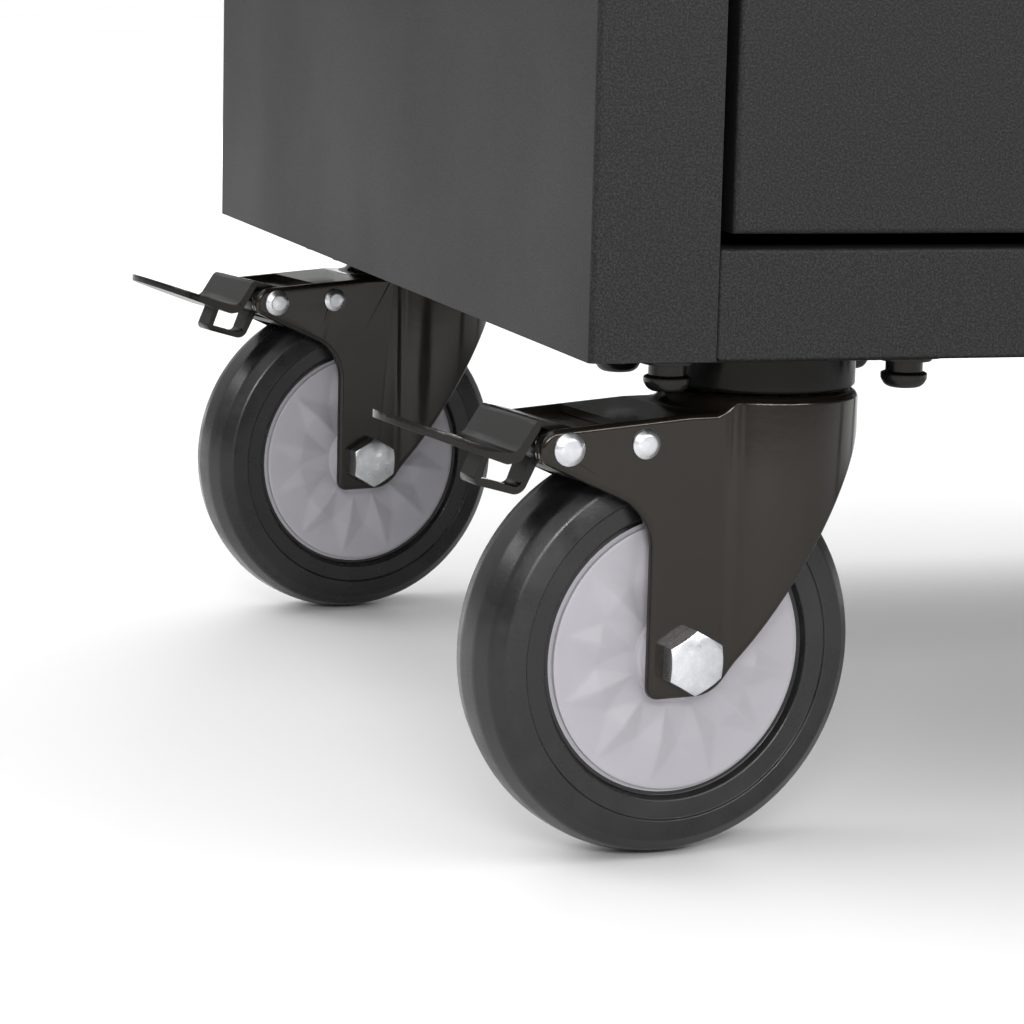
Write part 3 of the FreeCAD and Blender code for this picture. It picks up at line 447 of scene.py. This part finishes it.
# ---------------------------------------------------------------- axles, in millimetres

LEG_OUT = 22.0                      # outer face of a fork leg, from the wheel's middle
BOLT_R = 5.0
BOLT_HEAD_H = 5.8
BOLT_END = LEG_OUT + 12
BOLT_CORE_R = 0.5                   # where the shank's end faces begin, inside the metal
HEX_AF = 17.0
HEX_POINTS = 36
HEX_FACE_R = 8.1
HEX_CHAMFER_R = 8.3
HEX_CHAMFER_SLOPE = 0.6
HEX_MIDDLE_R = 1.0
WASHER_R = 10.5
WASHER_END = LEG_OUT + 1.2
WASHER_CHAMFER = 0.3
NUT_END = LEG_OUT + 7.6
COLLAR_R = 7.6
COLLAR_START = LEG_OUT + 7.4
COLLAR_END = LEG_OUT + 9.1
BUSH_R = 7.0
BUSH_END = LEG_OUT - 2.9


def hexagon_ring(along, chamfer_r=HEX_AF, drop=0.0):
    """Ring round a hexagon with a corner upwards. It drops where it reaches beyond chamfer_r."""
    ring = []
    for k in range(HEX_POINTS):
        angle = math.tau * k / HEX_POINTS
        from_flat = (angle % (math.tau / 6)) - math.tau / 12
        radius = HEX_AF / 2 / math.cos(from_flat)
        ring.append((radius * math.sin(angle), along + drop * max(0.0, radius - chamfer_r),
                     radius * math.cos(angle)))
    return ring


def hexagon_head(shape, place, near, far):
    """Hexagon with a chamfered outer face at far, and a flat one at near."""
    outwards = 1 if far > near else -1
    shape.rings([
        circle_ring(HEX_MIDDLE_R, near, HEX_POINTS),
        hexagon_ring(near),
        hexagon_ring(far, HEX_CHAMFER_R, -HEX_CHAMFER_SLOPE * outwards),
        circle_ring(HEX_FACE_R, far, HEX_POINTS),
        circle_ring(HEX_MIDDLE_R, far, HEX_POINTS),
    ], place, capped=True)


def axle(shape, place):
    """Hexagon bolt through both legs, with its washer, lock nut and bush."""
    hexagon_head(shape, place, -LEG_OUT, -LEG_OUT - BOLT_HEAD_H)
    hexagon_head(shape, place, WASHER_END, NUT_END)
    shank = [
        (BOLT_CORE_R, -LEG_OUT),
        (BOLT_R, -LEG_OUT),
        (BOLT_R, BOLT_END - 1.2),
        (BOLT_R - 0.8, BOLT_END),
        (BOLT_CORE_R, BOLT_END),
    ]
    washer = [
        (BOLT_R, LEG_OUT),
        (WASHER_R - WASHER_CHAMFER, LEG_OUT),
        (WASHER_R, LEG_OUT + WASHER_CHAMFER),
        (WASHER_R, WASHER_END - WASHER_CHAMFER),
        (WASHER_R - WASHER_CHAMFER, WASHER_END),
        (BOLT_R, WASHER_END),
    ]
    collar = rounded_line([
        (BOLT_R, COLLAR_START, 0),
        (COLLAR_R, COLLAR_START, 0),
        (COLLAR_R, COLLAR_END, 1.2),
        (BOLT_R, COLLAR_END, 0),
    ])
    bush = [(BOLT_R, -BUSH_END), (BUSH_R, -BUSH_END), (BUSH_R, BUSH_END), (BOLT_R, BUSH_END)]
    shape.turned(shank, place, segments=48)
    shape.turned(washer, place, segments=64)
    shape.turned(collar, place, segments=48)
    shape.turned(bush, place, segments=48)


def axles():
    for corner in SWIVEL_CORNERS:
        shape = Shape()
        axle(shape, wheel_place(corner))
        shape.finish(corner + "_axle_set", "zinc", corner + "_swivel", [corner + "_axle"])
    shape = Shape()
    for corner in RIGID_CORNERS:
        axle(shape, wheel_place(corner))
    shape.finish("rigid_axle_sets", "zinc", "cabinet", ["rigid_axles"])


# ---------------------------------------------------------------- brake rivets and caster bolts

RIVET_HEADS = {"_pedal_press": 5.0, "_shoe_close": 4.5}     # radius of the heads at each joint
RIVET_TOP = LEG_OUT + 1.8
RIVET_SHANK_R = 2.45
PLATE_BOLTS = (75.0, 45.0)
PLATE_T = 3.0
M8_R = 4.0
M8_END = 14.2
CAP_DROP = 9.6
CAP_R = 7.0
NECK_R = 5.6
FLANGE_R = 8.4
FLANGE_T = 1.2
PLATE_NUT_START = 3.2
PLATE_NUT_END = 11.2


def brake_rivets(corner):
    """Two rivets through the fork, with low domed heads on both sides."""
    shape = Shape()
    heading = wheel_place(corner).to_3x3().to_4x4()
    for joint, radius in RIVET_HEADS.items():
        place = Matrix.Translation(JOINTS[corner + joint]["pos_m"]) @ heading
        half = rounded_line([
            (AXIS_GAP, RIVET_TOP, 0),
            (radius * 0.62, RIVET_TOP - 0.1, 2.2),
            (radius, LEG_OUT + 0.5, 0.5),
            (radius, LEG_OUT, 0),
            (RIVET_SHANK_R, LEG_OUT, 0),
        ])
        shape.turned(half + mirrored(half), place, closed=False, segments=64)
    shape.finish(corner + "_rivets", "zinc", corner + "_swivel", [corner + "_brake_rivets"])


def bolt_points():
    """Where the four bolts of each caster plate stand, on the cabinet's underside."""
    centres = []
    for corner in SWIVEL_CORNERS:
        centres.append(Vector(JOINTS[corner + "_swivel_turn"]["pos_m"]))
    for corner in RIGID_CORNERS:
        centres.append(Vector(JOINTS[corner + "_wheel_roll"]["pos_m"]))
    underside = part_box("base_pan")[0].z
    for centre in centres:
        for i in (-1, 1):
            for j in (-1, 1):
                x = centre.x + i * PLATE_BOLTS[0] / 2 * MM
                y = centre.y + j * PLATE_BOLTS[1] / 2 * MM
                yield Vector((x, y, underside))


def caster_bolts():
    """Dome-headed bolts with washers below the plates, and flanged nuts above the channels."""
    upright = Matrix.Rotation(math.radians(90), 4, "X")
    cap = -PLATE_T - CAP_DROP
    head = rounded_line([
        (AXIS_GAP, cap, 0),
        (NECK_R, cap + 0.4, 3.2),
        (CAP_R, cap + 3.0, 1.4),
        (CAP_R, cap + 4.6, 0.6),
        (NECK_R, cap + 5.2, 0),
        (NECK_R, -PLATE_T - FLANGE_T, 0),
        (FLANGE_R - 0.2, -PLATE_T - FLANGE_T, 0.3),
        (FLANGE_R, -PLATE_T, 0),
        (M8_R, -PLATE_T, 0),
        (M8_R, M8_END, 0),
        (AXIS_GAP, M8_END, 0),
    ])
    nut = rounded_line([
        (M8_R, PLATE_NUT_START, 0),
        (FLANGE_R, PLATE_NUT_START, 0),
        (FLANGE_R, PLATE_NUT_START + FLANGE_T, 0.4),
        (7.2, PLATE_NUT_START + 1.8, 0.4),
        (6.9, PLATE_NUT_END, 0.8),
        (M8_R, PLATE_NUT_END, 0),
    ])
    shape = Shape()
    for point in bolt_points():
        place = Matrix.Translation(point) @ upright
        shape.turned(head, place, closed=False, segments=40)
        shape.turned(nut, place, segments=40)
    shape.finish("caster_bolt_sets", "black_hardware", "cabinet", ["caster_bolts"])


# ---------------------------------------------------------------- tray liner, in millimetres

LINER_PITCH = 6.0
LINER_RIB = 0.9
LINER_CHAMFER = 0.3
LINER_EDGE_SLOPE = 1.0
RIB_POINTS = 5


def liner_rib(start, base):
    """Points over one round rib, inwards from its two feet."""
    points = []
    for k in range(RIB_POINTS):
        across = 0.2 + 0.15 * k
        rise = math.sin(math.pi * (0.1 + 0.2 * k))
        points.append((start + LINER_PITCH * across, base + LINER_RIB * rise))
    return points


def tray_liner():
    """Rubber mat with a flat border and shallow round ribs along the tray."""
    low, high = (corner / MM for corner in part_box("tray_liner"))
    base = high.z - LINER_RIB
    count = int((high.y - low.y - 2 * LINER_PITCH) / LINER_PITCH)
    start = (low.y + high.y - count * LINER_PITCH) / 2
    end = start + count * LINER_PITCH
    section = [
        (low.y, low.z),
        (low.y, high.z - LINER_CHAMFER),
        (low.y + LINER_CHAMFER, high.z),
        (start - LINER_EDGE_SLOPE, high.z),
    ]
    for i in range(count):
        y = start + i * LINER_PITCH
        section.append((y, base))
        section += liner_rib(y, base)
    section += [
        (end, base),
        (end + LINER_EDGE_SLOPE, high.z),
        (high.y - LINER_CHAMFER, high.z),
        (high.y, high.z - LINER_CHAMFER),
        (high.y, low.z),
    ]
    ends = [[(x, y, z) for y, z in section] for x in (low.x, high.x)]
    shape = Shape()
    shape.rings(ends, Matrix.Identity(4), capped=True)
    shape.finish("tray_mat", "liner_rubber", "cabinet", ["tray_liner"])


# ---------------------------------------------------------------- camera, light and floor, in metres

CAMERA_FROM_CORNER = (-299.5 * MM, -898.3 * MM, 275.5 * MM)
CAMERA_YAW = math.radians(17.19)
CAMERA_PITCH = math.radians(-9.78)
CAMERA_ROLL = math.radians(1.38)
CAMERA_LENS = 119.4                 # millimetres, on a sensor 36 mm wide
SKY_HORIZON = 0.40
SKY_OVERHEAD = 1.5
FLOOR_HALF = 30.0
FLOOR_ROUGHNESS = 0.7


def make_camera():
    """The camera stands off the cabinet's front left corner, looking along +Y and to the right."""
    corner = Vector((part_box("left_side_panel")[0].x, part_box("left_side_panel")[0].y, 0.0))
    data = bpy.data.cameras.new("camera")
    data.lens = CAMERA_LENS
    data.sensor_width = 36.0
    data.clip_start = 0.01
    camera = bpy.data.objects.new("camera", data)
    bpy.context.scene.collection.objects.link(camera)
    yaw = Matrix.Rotation(-CAMERA_YAW, 4, "Z")
    pitch = Matrix.Rotation(math.radians(90) + CAMERA_PITCH, 4, "X")
    roll = Matrix.Rotation(CAMERA_ROLL, 4, "Z")
    camera.matrix_world = Matrix.Translation(corner + Vector(CAMERA_FROM_CORNER)) @ (yaw @ pitch @ roll)
    bpy.context.scene.camera = camera


def area_light(name, place, target, size, power):
    """Rectangular light at place, facing target, with its power in watts."""
    data = bpy.data.lights.new(name, "AREA")
    data.shape = "RECTANGLE"
    data.size, data.size_y = size
    data.energy = power
    light = bpy.data.objects.new(name, data)
    light.location = place
    light.rotation_euler = (Vector(target) - Vector(place)).to_track_quat("-Z", "Y").to_euler()
    bpy.context.scene.collection.objects.link(light)
    return light


def make_lights():
    """Soft light from the left, behind and in front, and a strip that only reflections show."""
    area_light("key", place=(-2.6, 0.9, 2.3), target=(-0.2, 0.1, 0.4), size=(1.4, 1.4), power=22)
    area_light("rear", place=(1.4, 2.8, 0.7), target=(0.2, 0.2, 0.0), size=(2.0, 0.8), power=30)
    area_light("front strip", place=(-0.9, -2.8, 1.35), target=(-0.2, -0.2, 0.12), size=(1.3, 0.4),
               power=36)
    glint = area_light("glint", place=(0.7, -3.0, 1.4), target=(0.0, -0.2, 0.12), size=(2.6, 0.22),
                       power=60)
    glint.visible_diffuse = False


def make_sky():
    """White studio: bright overhead and dimmer round the horizon."""
    world = bpy.data.worlds.new("studio")
    bpy.context.scene.world = world
    world.use_nodes = True
    tree = world.node_tree
    direction = tree.nodes.new("ShaderNodeTexCoord").outputs["Generated"]
    split = tree.nodes.new("ShaderNodeSeparateXYZ")
    tree.links.new(direction, split.inputs["Vector"])
    square = tree.nodes.new("ShaderNodeMath")
    square.operation = "MULTIPLY"
    tree.links.new(split.outputs["Z"], square.inputs[0])
    tree.links.new(split.outputs["Z"], square.inputs[1])
    level = tree.nodes.new("ShaderNodeMath")
    level.operation = "MULTIPLY_ADD"
    tree.links.new(square.outputs["Value"], level.inputs[0])
    level.inputs[1].default_value = SKY_OVERHEAD
    level.inputs[2].default_value = SKY_HORIZON
    background = tree.nodes["Background"]
    background.inputs["Color"].default_value = (1.0, 1.0, 1.0, 1.0)
    tree.links.new(level.outputs["Value"], background.inputs["Strength"])


def make_floor():
    """Wide pale floor with a faint unevenness."""
    half = FLOOR_HALF
    corners = [(-half, -half, 0), (half, -half, 0), (half, half, 0), (-half, half, 0)]
    mesh = bpy.data.meshes.new("floor")
    mesh.from_pydata(corners, [], [(0, 1, 2, 3)])
    floor = bpy.data.objects.new("floor", mesh)
    bpy.context.scene.collection.objects.link(floor)
    shader = Shader("floor")
    patches = shader.spread(shader.noise(3.0), 0.3, 0.7)
    shade = shader.blend(patches, (0.88, 0.88, 0.88), (0.91, 0.91, 0.91))
    floor.data.materials.append(shader.set(Base_Color=shade, Roughness=FLOOR_ROUGHNESS))


tray_liner()
for corner in SWIVEL_CORNERS + RIGID_CORNERS:
    tyre(corner)
    wheel_core(corner)
for corner in SWIVEL_CORNERS:
    brake_rivets(corner)
axles()
caster_bolts()
dress_cad_nodes()
make_camera()
make_floor()
make_sky()
make_lights()
bpy.context.scene.view_settings.view_transform = "Standard"
